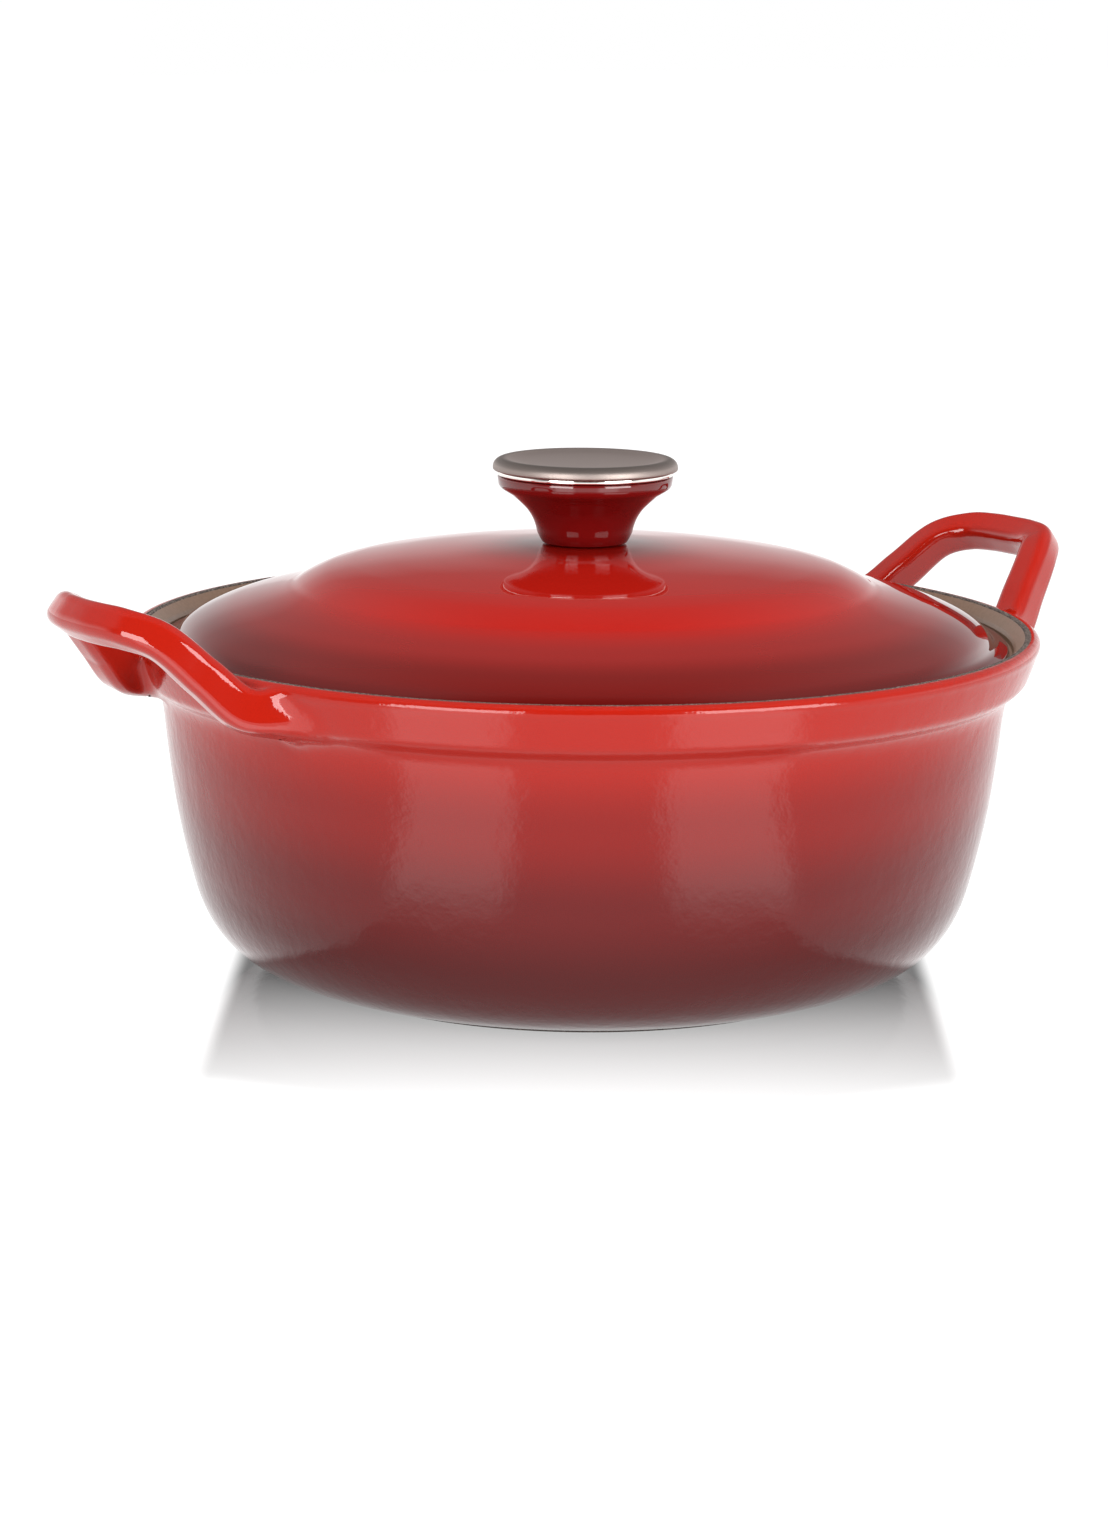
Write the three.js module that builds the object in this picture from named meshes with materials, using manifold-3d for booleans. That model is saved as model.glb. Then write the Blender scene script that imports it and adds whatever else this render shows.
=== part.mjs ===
// Round enamelled cast iron dutch oven with a lift-off lid and a screwed-on knob.
// Millimetres, +Z up. The origin is on the pot's axis, on the face it rests on, and the handles lie along X.
import * as THREE from 'three';
import { mergeVertices } from 'three/addons/utils/BufferGeometryUtils.js';
import Module from 'manifold-3d';

const wasm = await Module();
wasm.setup();

// Driving dimensions
const GAP = 0.3; // clearance between pieces that touch
const RIM_RADIUS = 140; // outer edge of the rim
const RIM_HEIGHT = 106.5; // from the resting face to the top of the rim
const RIM_LAND = 4.6; // rim, from its outer edge to where it slopes down to the ledge
const BAND_HEIGHT = 11; // thick band under the rim
const WALL = 4.6; // body wall
const FLOOR = 5; // body floor
const FOOT_RADIUS = 86; // flat face that the pot rests on
const FOOT_HEIGHT = 0.9;
const SHOULDER_RADIUS = 129.6; // outside of the wall just under the band
const SEAT_RADIUS = 131.7; // outer edge of the ledge that carries the lid
const SEAT_DEPTH = 5.9; // ledge below the rim
const SEAT_WIDTH = 5.5;
const LOOP_REACH = 171.3; // middle of the grip, from the pot's axis
const LOOP_RISE = 15.6; // middle of the grip, above the rim
const LOOP_WIDTH = 11.1; // section of the loop handles
const LOOP_THICKNESS = 10.4;
const LOOP_SIDES = 12;
const LID_RADIUS = 130.3; // flange of the lid
const LID_SHOULDER_RADIUS = 125.4; // widest part above the flange
const LID_SHOULDER_HEIGHT = 104.3;
const CREASE_RADIUS = 91.5; // where the dome meets the flatter border of the lid
const CREASE_HEIGHT = 118;
const DOME_TOP = 131.9; // small flat that the knob stands on
const HUB_RADIUS = 14; // flat pad on the underside, for the screw
const HUB_BOTTOM = 127;
const KNOB_BOTTOM = DOME_TOP + GAP;
const KNOB_TOP = 152.8; // shoulder of the moulded body, under the ring
const KNOB_RADIUS = 26.9;
const RING_HEIGHT = 1.4;
const CAP_RADIUS = 28.3;
const CAP_TOP = 158.2;
const SPIGOT_RADIUS = 6;
const SPIGOT_BOTTOM = 147.6;
const INSERT_RADIUS = 5.2;
const INSERT_TOP = SPIGOT_BOTTOM - 2 * GAP;
const SCREW_RADIUS = 2.9;
const SCREW_TIP = 144.5;
const SCREW_HEAD_RADIUS = 5.8;
const SCREW_HEAD_HEIGHT = 3.2;
const WASHER_THICKNESS = 1.4;
const WASHER_RADIUS = 8;
const LOCK_WASHER_RADIUS = 5.4;

const ROUND_SEGMENTS = 56; // facets around the pot and the lid
const KNOB_SEGMENTS = 36;
const SMALL_SEGMENTS = 20;
const LOOP_STEPS = 32;

const point = (radius, height) => new THREE.Vector2(radius, height);

// An outline that starts at the given point. Its later points are added with lineTo and splineThru.
function outlineFrom(radius, height) {
  const path = new THREE.Path();
  path.moveTo(radius, height);
  return path;
}

function through(path, pairs) {
  path.splineThru(pairs.map(([radius, height]) => point(radius, height)));
  return path;
}

function straight(path, pairs) {
  for (const [radius, height] of pairs) path.lineTo(radius, height);
  return path;
}

// Only positions are kept, so that faces share their corners.
function joined(geometry) {
  geometry.deleteAttribute('normal');
  geometry.deleteAttribute('uv');
  return mergeVertices(geometry);
}

// Turns an outline (radius, height) round the Z axis. A curve gets as many spans as it has points.
function turned(path, segments) {
  const geometry = new THREE.LatheGeometry(path.getPoints(1), segments);
  geometry.rotateX(Math.PI / 2);
  return joined(geometry);
}

function solid(geometry) {
  const index = geometry.index.array;
  const corners = [];
  for (let i = 0; i < index.length; i += 3) {
    const [a, b, c] = [index[i], index[i + 1], index[i + 2]];
    if (a !== b && b !== c && c !== a) corners.push(a, b, c);
  }
  return new wasm.Manifold(new wasm.Mesh({
    numProp: 3,
    vertProperties: new Float32Array(geometry.attributes.position.array),
    triVerts: new Uint32Array(corners),
  }));
}

function surface(manifold) {
  const mesh = manifold.getMesh();
  const geometry = new THREE.BufferGeometry();
  geometry.setAttribute('position', new THREE.BufferAttribute(new Float32Array(mesh.vertProperties), 3));
  geometry.setIndex(new THREE.BufferAttribute(new Uint32Array(mesh.triVerts), 1));
  return geometry;
}

function box(width, depth, height, x, y, z) {
  const geometry = new THREE.BoxGeometry(width, depth, height);
  geometry.translate(x, y, z);
  return solid(joined(geometry));
}

// Pot: the outside as a full solid, closed across the rim.
function potOutside() {
  const bandBottom = RIM_HEIGHT - BAND_HEIGHT;
  const path = outlineFrom(0, 0);
  straight(path, [[FOOT_RADIUS, 0], [FOOT_RADIUS + 0.8, FOOT_HEIGHT]]);
  through(path, [[96, 3.3], [104, 6.5], [109.8, 10.6], [114.8, 16.6], [118.5, 24], [121.4, 34], [125.3, 52]]);
  path.lineTo(SHOULDER_RADIUS, bandBottom - 9);
  through(path, [[130.7, bandBottom - 6], [133.6, bandBottom - 2.8], [136.4, bandBottom]]);
  straight(path, [[RIM_RADIUS - 0.9, RIM_HEIGHT - 4.4], [RIM_RADIUS, RIM_HEIGHT - 2.4]]);
  through(path, [[RIM_RADIUS - 0.5, RIM_HEIGHT - 0.9], [RIM_RADIUS - 1.6, RIM_HEIGHT - 0.2]]);
  straight(path, [[RIM_RADIUS - 3, RIM_HEIGHT], [0, RIM_HEIGHT]]);
  return solid(turned(path, ROUND_SEGMENTS));
}

// The hollow of the pot, with the lid's ledge and the sloping inside of the rim, reaching above the rim.
function potHollow() {
  const seat = RIM_HEIGHT - SEAT_DEPTH;
  const seatInner = SEAT_RADIUS - SEAT_WIDTH;
  const rimInner = RIM_RADIUS - RIM_LAND;
  const path = outlineFrom(0, FLOOR);
  path.lineTo(FOOT_RADIUS - 2, FLOOR);
  through(path, [[97, 8.3], [105, 13.2], [110.6, 20], [114.2, 27.5], [117, 36], [120.6, 52]]);
  straight(path, [[SHOULDER_RADIUS - WALL, RIM_HEIGHT - BAND_HEIGHT - 9], [seatInner - 1, seat - 1]]);
  straight(path, [[seatInner, seat], [SEAT_RADIUS - 0.3, seat], [SEAT_RADIUS, seat + 0.4]]);
  straight(path, [[SEAT_RADIUS + 0.1, RIM_HEIGHT - 3.7], [SEAT_RADIUS + 0.9, RIM_HEIGHT - 3.1]]);
  straight(path, [[rimInner, RIM_HEIGHT - 0.5], [rimInner + 0.3, RIM_HEIGHT]]);
  straight(path, [[rimInner + 0.3, RIM_HEIGHT + 30], [0, RIM_HEIGHT + 30]]);
  return solid(turned(path, ROUND_SEGMENTS));
}

// The section of a handle is a rectangle with generously rounded corners, drawn as a squared-off ellipse.
function loopSection() {
  const squareness = 0.8;
  const bulge = (value, half) => half * Math.sign(value) * Math.abs(value) ** squareness;
  const corners = [];
  for (let side = 0; side < LOOP_SIDES; side += 1) {
    const angle = (side + 0.5) * 2 * Math.PI / LOOP_SIDES;
    corners.push(point(bulge(Math.cos(angle), LOOP_THICKNESS / 2), bulge(Math.sin(angle), LOOP_WIDTH / 2)));
  }
  return new THREE.Shape(corners);
}

// One loop handle: its arms leave the band, rise outwards, and close in a straight grip across the end.
function loopHandle() {
  const arm = [
    [123, 49, RIM_HEIGHT - 6.6],
    [131, 43.8, RIM_HEIGHT - 7.6],
    [140, 38, RIM_HEIGHT - 6.6],
    [149.5, 31.6, RIM_HEIGHT + 2.4],
    [159.8, 25, RIM_HEIGHT + 12],
    [167, 17.6, RIM_HEIGHT + LOOP_RISE - 0.5],
  ];
  const corner = [LOOP_REACH - 0.6, 9, RIM_HEIGHT + LOOP_RISE];
  const middle = [LOOP_REACH, 0, RIM_HEIGHT + LOOP_RISE];
  const half = [...arm, corner];
  const mirrored = half.map(([x, y, z]) => [x, -y, z]).reverse();
  const places = [...half, middle, ...mirrored].map(([x, y, z]) => new THREE.Vector3(x, y, z));
  const extrudePath = new THREE.CatmullRomCurve3(places, false, 'centripetal');
  const options = { steps: LOOP_STEPS, curveSegments: 1, bevelEnabled: false, extrudePath };
  return solid(joined(new THREE.ExtrudeGeometry(loopSection(), options)));
}

function potBody() {
  const right = loopHandle();
  const left = right.rotate([0, 0, 180]);
  return surface(potOutside().add(right).add(left).subtract(potHollow()));
}

// Lid: the underside from the screw hole out to the skirt, round the flange, and back over the dome.
function lid() {
  const seat = RIM_HEIGHT - SEAT_DEPTH;
  const flangeTop = seat + 2.1;
  const hole = SCREW_RADIUS + 2 * GAP;
  const skirt = SEAT_RADIUS - SEAT_WIDTH - 2.7;
  const path = outlineFrom(hole, HUB_BOTTOM);
  path.lineTo(HUB_RADIUS, HUB_BOTTOM);
  through(path, [[30, 126.6], [50, 124.9], [65, 123], [76, 120.6]]);
  through(path, [[84, 117.4], [CREASE_RADIUS - 0.5, CREASE_HEIGHT - 4], [104, 109.9], [116, 106.2]]);
  straight(path, [[skirt - 4.6, 103], [skirt - 4, seat - 2.9], [skirt - 3.2, seat - 3.5]]);
  straight(path, [[skirt - 0.8, seat - 3.5], [skirt, seat - 2.7], [skirt + 0.6, seat + GAP]]);
  straight(path, [[LID_RADIUS - 0.3, seat + GAP], [LID_RADIUS, seat + GAP + 0.4]]);
  straight(path, [[LID_RADIUS, flangeTop - 0.3], [LID_RADIUS - 0.4, flangeTop - 0.2]]);
  through(path, [[128.2, flangeTop], [126.6, flangeTop + 0.5]]);
  path.lineTo(LID_SHOULDER_RADIUS, LID_SHOULDER_HEIGHT);
  through(path, [[123.8, LID_SHOULDER_HEIGHT + 1.9], [120.5, 108.3], [110, 112.5], [98, 115.8]]);
  through(path, [[CREASE_RADIUS, CREASE_HEIGHT], [87, 120.8], [80, 124.1], [72.5, 126.05]]);
  through(path, [[65, 127.3], [50, 129.2], [30, 130.9], [HUB_RADIUS, DOME_TOP - 0.2]]);
  straight(path, [[HUB_RADIUS - 0.3, DOME_TOP], [hole, DOME_TOP], [hole, HUB_BOTTOM]]);
  return turned(path, ROUND_SEGMENTS);
}

// Moulded knob: a cup that flares upwards, bored for the insert and the spigot of the cap.
function knobBody() {
  const insertBore = INSERT_RADIUS + GAP;
  const spigotBore = SPIGOT_RADIUS + GAP;
  const path = outlineFrom(insertBore, KNOB_BOTTOM);
  path.lineTo(12, KNOB_BOTTOM);
  through(path, [[13.6, KNOB_BOTTOM + 0.9], [14.8, KNOB_BOTTOM + 3.5], [15.9, KNOB_BOTTOM + 7]]);
  through(path, [[17.6, 142.1], [20.2, 145.2], [23.8, 148.1], [26.1, 150]]);
  straight(path, [[KNOB_RADIUS, KNOB_TOP - 0.6], [KNOB_RADIUS - 0.3, KNOB_TOP], [spigotBore, KNOB_TOP]]);
  straight(path, [[spigotBore, SPIGOT_BOTTOM - GAP], [insertBore, SPIGOT_BOTTOM - GAP], [insertBore, KNOB_BOTTOM]]);
  return turned(path, KNOB_SEGMENTS);
}

function knobRing() {
  const bottom = KNOB_TOP + GAP;
  const top = bottom + RING_HEIGHT;
  const inner = SPIGOT_RADIUS + GAP;
  const path = outlineFrom(inner, bottom);
  straight(path, [[KNOB_RADIUS - 0.1, bottom], [KNOB_RADIUS + 0.2, bottom + 0.4]]);
  straight(path, [[KNOB_RADIUS + 0.2, top - 0.4], [KNOB_RADIUS - 0.1, top], [inner, top], [inner, bottom]]);
  return turned(path, KNOB_SEGMENTS);
}

// Stainless cap: a rounded disc with a shallow dish on top and a spigot underneath.
function knobCap() {
  const bottom = KNOB_TOP + RING_HEIGHT + 2 * GAP;
  const path = outlineFrom(0, SPIGOT_BOTTOM);
  straight(path, [[SPIGOT_RADIUS - 0.5, SPIGOT_BOTTOM], [SPIGOT_RADIUS, SPIGOT_BOTTOM + 0.5]]);
  straight(path, [[SPIGOT_RADIUS, bottom], [CAP_RADIUS - 0.7, bottom]]);
  through(path, [[CAP_RADIUS - 0.1, bottom + 0.4], [CAP_RADIUS, bottom + 1], [CAP_RADIUS - 0.6, bottom + 2.2]]);
  through(path, [[CAP_RADIUS - 2, CAP_TOP - 0.2], [CAP_RADIUS - 3.4, CAP_TOP], [CAP_RADIUS - 6, CAP_TOP - 0.5]]);
  through(path, [[12, CAP_TOP - 1.4], [0, CAP_TOP - 1.6]]);
  return turned(path, KNOB_SEGMENTS);
}

// Threaded sleeve moulded into the knob, with two grooves that key it into the moulding.
function knobInsert() {
  const bore = SCREW_RADIUS + GAP;
  const bottom = KNOB_BOTTOM + GAP;
  const groove = INSERT_RADIUS - 0.6;
  const path = outlineFrom(bore, bottom);
  straight(path, [[INSERT_RADIUS, bottom], [INSERT_RADIUS, bottom + 3.5], [groove, bottom + 4.1]]);
  straight(path, [[groove, bottom + 5.5], [INSERT_RADIUS, bottom + 6.1], [INSERT_RADIUS, bottom + 8.5]]);
  straight(path, [[groove, bottom + 9.1], [groove, bottom + 10.5], [INSERT_RADIUS, bottom + 11.1]]);
  straight(path, [[INSERT_RADIUS, INSERT_TOP], [bore, INSERT_TOP], [bore, bottom]]);
  return turned(path, SMALL_SEGMENTS);
}

const washerTop = HUB_BOTTOM - GAP;
const lockWasherTop = washerTop - WASHER_THICKNESS - GAP;
const headTop = lockWasherTop - WASHER_THICKNESS - GAP;

function washerRing(outer, top) {
  const inner = SCREW_RADIUS + GAP + 0.2;
  const bottom = top - WASHER_THICKNESS;
  const path = outlineFrom(inner, bottom);
  straight(path, [[outer, bottom], [outer, top], [inner, top], [inner, bottom]]);
  return turned(path, SMALL_SEGMENTS);
}

// The lock washer is split across one side.
function lockWasher() {
  const slit = box(LOCK_WASHER_RADIUS * 2, 1, WASHER_THICKNESS * 3, LOCK_WASHER_RADIUS, 0, lockWasherTop);
  return surface(solid(washerRing(LOCK_WASHER_RADIUS, lockWasherTop)).subtract(slit));
}

// Pan-head screw, up through the lid into the insert, with a straight slot for a driver.
function knobScrew() {
  const headBottom = headTop - SCREW_HEAD_HEIGHT;
  const path = outlineFrom(0, headBottom);
  straight(path, [[SCREW_HEAD_RADIUS - 1.6, headBottom], [SCREW_HEAD_RADIUS - 0.4, headBottom + 0.9]]);
  straight(path, [[SCREW_HEAD_RADIUS, headBottom + 2.2], [SCREW_HEAD_RADIUS, headTop], [SCREW_RADIUS, headTop]]);
  straight(path, [[SCREW_RADIUS, SCREW_TIP - 0.8], [SCREW_RADIUS - 0.8, SCREW_TIP], [0, SCREW_TIP]]);
  const slot = box(SCREW_HEAD_RADIUS * 3, 1.4, 3, 0, 0, headBottom);
  return surface(solid(turned(path, SMALL_SEGMENTS)).subtract(slot));
}

function finish(color, roughness, metalness) {
  return new THREE.MeshStandardMaterial({ color, roughness, metalness });
}

const enamel = () => finish(0xb8352b, 0.22, 0);
const phenolic = () => finish(0x8f1f1d, 0.3, 0);
const satinSteel = () => finish(0x9c928c, 0.38, 1);
const polishedSteel = () => finish(0xd6d3cf, 0.1, 1);
const brass = () => finish(0xb89a5a, 0.35, 1);
const zincSteel = () => finish(0xa9acae, 0.35, 1);

const pieces = [
  ['pot_body', potBody(), enamel()],
  ['lid', lid(), enamel()],
  ['knob_body', knobBody(), phenolic()],
  ['knob_ring', knobRing(), polishedSteel()],
  ['knob_cap', knobCap(), satinSteel()],
  ['knob_insert', knobInsert(), brass()],
  ['knob_screw', knobScrew(), zincSteel()],
  ['knob_lock_washer', lockWasher(), zincSteel()],
  ['knob_washer', washerRing(WASHER_RADIUS, washerTop), zincSteel()],
];

const group = new THREE.Group();
for (const [name, geometry, material] of pieces) {
  const mesh = new THREE.Mesh(geometry, material);
  mesh.name = name;
  group.add(mesh);
}

export default group;
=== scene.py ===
"""Fine surface, materials, studio and camera for a round enamelled cast iron dutch oven."""

import math

import bpy
import numpy as np
from mathutils import Matrix, Vector


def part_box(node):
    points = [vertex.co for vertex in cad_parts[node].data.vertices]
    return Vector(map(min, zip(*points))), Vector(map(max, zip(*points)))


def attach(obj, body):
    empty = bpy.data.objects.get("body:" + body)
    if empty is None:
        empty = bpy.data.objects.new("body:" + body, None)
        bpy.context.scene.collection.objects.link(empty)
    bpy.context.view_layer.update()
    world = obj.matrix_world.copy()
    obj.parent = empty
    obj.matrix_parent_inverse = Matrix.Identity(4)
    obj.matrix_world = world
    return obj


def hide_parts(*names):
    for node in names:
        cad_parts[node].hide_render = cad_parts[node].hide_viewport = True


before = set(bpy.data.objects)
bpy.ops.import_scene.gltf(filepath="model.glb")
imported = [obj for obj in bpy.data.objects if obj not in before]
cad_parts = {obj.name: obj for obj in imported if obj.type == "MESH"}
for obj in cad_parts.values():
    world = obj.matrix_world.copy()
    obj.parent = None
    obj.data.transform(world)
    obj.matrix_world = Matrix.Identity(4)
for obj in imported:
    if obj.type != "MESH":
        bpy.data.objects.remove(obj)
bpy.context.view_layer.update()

MM = 0.001

# Driving dimensions, in millimetres, read from the frame where it has them.
RIM_TOP = 106.5
RIM_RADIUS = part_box("pot_body")[1][1] / MM
LEDGE = RIM_TOP - 5.9
LID_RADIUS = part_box("lid")[1][1] / MM
DOME_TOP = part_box("lid")[1][2] / MM
KNOB_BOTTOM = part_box("knob_body")[0][2] / MM
KNOB_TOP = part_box("knob_body")[1][2] / MM
RING_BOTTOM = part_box("knob_ring")[0][2] / MM
RING_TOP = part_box("knob_ring")[1][2] / MM
RING_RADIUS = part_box("knob_ring")[1][0] / MM
CAP_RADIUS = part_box("knob_cap")[1][0] / MM
CAP_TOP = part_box("knob_cap")[1][2] / MM
FOOT_RADIUS = 87.6
LAND_OUTER = 137.0  # the bare land on top of the rim
LAND_INNER = 135.1
LEDGE_RADIUS = 126.0
LID_UNDERSIDE = LEDGE + 0.3
SKIRT_BOTTOM = 97.4
HUB_BOTTOM = 127.0  # the flat under the dome that the knob's washer bears on
HUB_RADIUS = 14.0
SCREW_HOLE = 3.5
KNOB_BORE = 5.6  # the hole up the knob, for its insert
RECESS = 6.4  # the wider hole above it, for the cap's stem
RECESS_FLOOR = 147.3
LOOP_WIDTH = 11.1
LOOP_THICKNESS = 10.6
LOOP_ROUNDING = 3.4
LOOP_TILT = math.radians(38)
LOOP_ROOT = (134, 42)  # where the right handle's middle line meets the band, along X and Y
ROOT_WIDER = 0.6  # how much a handle's half width and half thickness grow at its roots
ROOT_THICKER = 1.5
ROOT_SHARE = 0.36  # how far along the handle, from each end, it goes on growing
BLEND = 7.0  # reach of the fillet between a handle and the band
FILLETS_ABOVE = 75  # the roots of the handles change nothing lower down the wall
BURIED = 2.5  # surfaces that lie deeper than this inside the other one are left out
ROOT_RADIUS = 136.2  # nearer to the axis than this, a handle is inside the wall
SIDES = 40  # points round a handle's section

# The studio faces the pot 33.9 degrees round from the line of its handles.
STUDIO_TURN = math.radians(-33.9)
FLOOR_HALF = 9000  # half the length of the floor's sides


def studio(x, y, z):
    """A place in the studio's frame, which has the camera on its -Y side, in the row frame."""
    c, s = math.cos(STUDIO_TURN), math.sin(STUDIO_TURN)
    return Vector((x * c - y * s, x * s + y * c, z))


# ---------------------------------------------------------------- outlines

def smooth(points, step=1.0):
    """Points along a centripetal Catmull-Rom curve through the given points, about step apart."""
    pts = [np.array(p, float) for p in points]
    pts = [2 * pts[0] - pts[1]] + pts + [2 * pts[-1] - pts[-2]]
    out = []
    for i in range(1, len(pts) - 2):
        p0, p1, p2, p3 = pts[i - 1:i + 3]
        t = [0.0]
        for a, b in ((p0, p1), (p1, p2), (p2, p3)):
            t.append(t[-1] + math.sqrt(np.linalg.norm(b - a)))
        count = max(1, int(math.ceil(np.linalg.norm(p2 - p1) / step)))
        for k in range(count):
            s = t[1] + (t[2] - t[1]) * k / count
            a1 = (t[1] - s) / (t[1] - t[0]) * p0 + (s - t[0]) / (t[1] - t[0]) * p1
            a2 = (t[2] - s) / (t[2] - t[1]) * p1 + (s - t[1]) / (t[2] - t[1]) * p2
            a3 = (t[3] - s) / (t[3] - t[2]) * p2 + (s - t[2]) / (t[3] - t[2]) * p3
            b1 = (t[2] - s) / (t[2] - t[0]) * a1 + (s - t[0]) / (t[2] - t[0]) * a2
            b2 = (t[3] - s) / (t[3] - t[1]) * a2 + (s - t[1]) / (t[3] - t[1]) * a3
            out.append((t[2] - s) / (t[2] - t[1]) * b1 + (s - t[1]) / (t[2] - t[1]) * b2)
    out.append(pts[-2])
    return [tuple(p) for p in out]


def rounded(corners, steps=5):
    """A line of (radius, height, rounding) corners, each rounded off with an arc."""
    out = []
    for i, (x, y, rounding) in enumerate(corners):
        if rounding <= 0 or i in (0, len(corners) - 1):
            out.append((x, y))
            continue
        here = np.array((x, y))
        before = np.array(corners[i - 1][:2]) - here
        after = np.array(corners[i + 1][:2]) - here
        u, v = before / np.linalg.norm(before), after / np.linalg.norm(after)
        half = math.acos(max(-1.0, min(1.0, float(u @ v)))) / 2
        reach = min(rounding / math.tan(half), 0.49 * np.linalg.norm(before), 0.49 * np.linalg.norm(after))
        size = reach * math.tan(half)
        middle = here + (u + v) / np.linalg.norm(u + v) * size / math.sin(half)
        start = here + u * reach - middle
        end = here + v * reach - middle
        a0 = math.atan2(start[1], start[0])
        sweep = (math.atan2(end[1], end[0]) - a0 + math.pi) % (2 * math.pi) - math.pi
        for k in range(steps + 1):
            a = a0 + sweep * k / steps
            out.append((middle[0] + size * math.cos(a), middle[1] + size * math.sin(a)))
    return out


def join(*lines):
    """Joins lines end to end, without repeated points."""
    out = []
    for line in lines:
        for p in line:
            if not out or math.dist(out[-1], p) > 1e-4:
                out.append((float(p[0]), float(p[1])))
    return out


# ---------------------------------------------------------------- meshes

def add_mesh(name, verts, faces, material, body=None, normals=None):
    """One mesh piece, given in millimetres, that rides on a body if one is named."""
    mesh = bpy.data.meshes.new(name)
    mesh.from_pydata([tuple(float(c) * MM for c in v) for v in verts], [], faces)
    mesh.polygons.foreach_set("use_smooth", [True] * len(mesh.polygons))
    mesh.materials.append(material)
    if normals is not None:
        mesh.normals_split_custom_set_from_vertices([tuple(n) for n in normals])
    mesh.update()
    piece = bpy.data.objects.new(name, mesh)
    bpy.context.scene.collection.objects.link(piece)
    if body:
        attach(piece, body)
    return piece


def outline_normals(outline, sharp=math.radians(50)):
    """For each point of an outline, the outward normals of the stretches before and after it.

    They are the same where the outline runs smoothly, and differ at a sharp corner.
    """
    pts = np.array(outline)
    edges = pts[1:] - pts[:-1]
    lengths = np.linalg.norm(edges, axis=1)
    edge_normals = np.stack([edges[:, 1], -edges[:, 0]], axis=1) / lengths[:, None]
    before, after = [], []
    for i in range(len(pts)):
        a = edge_normals[max(i - 1, 0)]
        b = edge_normals[min(i, len(edges) - 1)]
        if math.acos(max(-1.0, min(1.0, float(a @ b)))) > sharp:
            before.append(a)
            after.append(b)
            continue
        wa = lengths[min(i, len(edges) - 1)]
        wb = lengths[max(i - 1, 0)]
        n = a * wa + b * wb
        n = n / np.linalg.norm(n)
        before.append(n)
        after.append(n)
    return np.array(before), np.array(after)


def turned(name, outline, material, body, columns=256):
    """An outline (radius, height) turned round the Z axis, with the normals of the true outline."""
    before, after = outline_normals(outline)
    verts, normals, faces = [], [], []
    angles = [2 * math.pi * k / columns for k in range(columns)]
    for i in range(len(outline) - 1):
        (r0, z0), (r1, z1) = outline[i], outline[i + 1]
        start = len(verts)
        for (r, z), n in (((r0, z0), after[i]), ((r1, z1), before[i + 1])):
            for a in angles:
                verts.append((r * math.cos(a), r * math.sin(a), z))
                normals.append((n[0] * math.cos(a), n[0] * math.sin(a), n[1]))
        for k in range(columns):
            j = (k + 1) % columns
            a, b, c, d = start + k, start + j, start + columns + j, start + columns + k
            if r0 < 1e-6:
                faces.append((a, c, d))
            elif r1 < 1e-6:
                faces.append((a, b, c))
            else:
                faces.append((a, b, c, d))
    keep, where = merge(verts, normals)
    faces = [tuple(dict.fromkeys(where[v] for v in f)) for f in faces]
    faces = [f for f in faces if len(f) > 2]
    return add_mesh(name, [verts[k] for k in keep], faces, material, body, [normals[k] for k in keep])


def merge(verts, normals):
    """Joins vertices alike in place and normal: which ones to keep, and where each one went."""
    seen, keep, where = {}, [], []
    for k, (v, n) in enumerate(zip(verts, normals)):
        key = tuple(round(c, 4) for c in v) + tuple(round(c, 3) for c in n)
        if key not in seen:
            seen[key] = len(keep)
            keep.append(k)
        where.append(seen[key])
    return keep, where


# ---------------------------------------------------------------- shapes of the pot

def pot_outside_outline():
    """From the edge of the foot up the wall and over the band, to the outer edge of the rim's land."""
    wall = smooth([(FOOT_RADIUS, 1.0), (96, 3.3), (104, 6.5), (109.8, 10.6), (114.8, 16.6), (118.5, 24),
                   (121.4, 34), (125.3, 52), (127.7, 69), (129.5, 84.5), (130.3, 87.4), (131.9, 90.0),
                   (134.2, 91.8), (136.0, 93.6), (137.1, 96.2), (138.2, 99.4),
                   (RIM_RADIUS - 0.8, RIM_TOP - 4.1)], 0.9)
    shoulder = smooth([(RIM_RADIUS - 0.8, RIM_TOP - 4.1), (RIM_RADIUS - 0.25, RIM_TOP - 2.6),
                       (RIM_RADIUS - 0.35, RIM_TOP - 1.5), (RIM_RADIUS - 1, RIM_TOP - 0.6),
                       (RIM_RADIUS - 2, RIM_TOP - 0.1), (LAND_OUTER, RIM_TOP)], 0.35)
    return join(wall, shoulder)


def land_outline():
    return rounded([(LAND_OUTER, RIM_TOP, 0), (LAND_INNER + 0.4, RIM_TOP, 0.3),
                    (LAND_INNER, RIM_TOP - 0.35, 0)], 3)


def foot_outline():
    return rounded([(0, 0.35, 0), (80, 0.35, 0), (82, 0, 0.3), (86, 0, 0.5), (FOOT_RADIUS, 1.0, 0)], 3)


def pot_inside_outline():
    """From the inner edge of the land down the slope, over the ledge, and down the wall to the floor."""
    seat = rounded([(LAND_INNER, RIM_TOP - 0.35, 0), (132.4, RIM_TOP - 3.2, 1.4),
                    (131.7, RIM_TOP - 4.4, 0.8), (131.6, LEDGE, 0.5), (LEDGE_RADIUS, LEDGE, 1.2),
                    (124.9, LEDGE - 3, 1.5), (124.7, 85.5, 0)], 5)
    wall = smooth([(124.7, 85.5), (120.6, 52), (117, 36), (114.2, 27.5), (110.6, 20), (105, 13.2),
                   (97, 8.3), (84, 5.3), (60, 5.05), (0, 5.0)], 2.0)
    return join(seat, wall)


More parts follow.
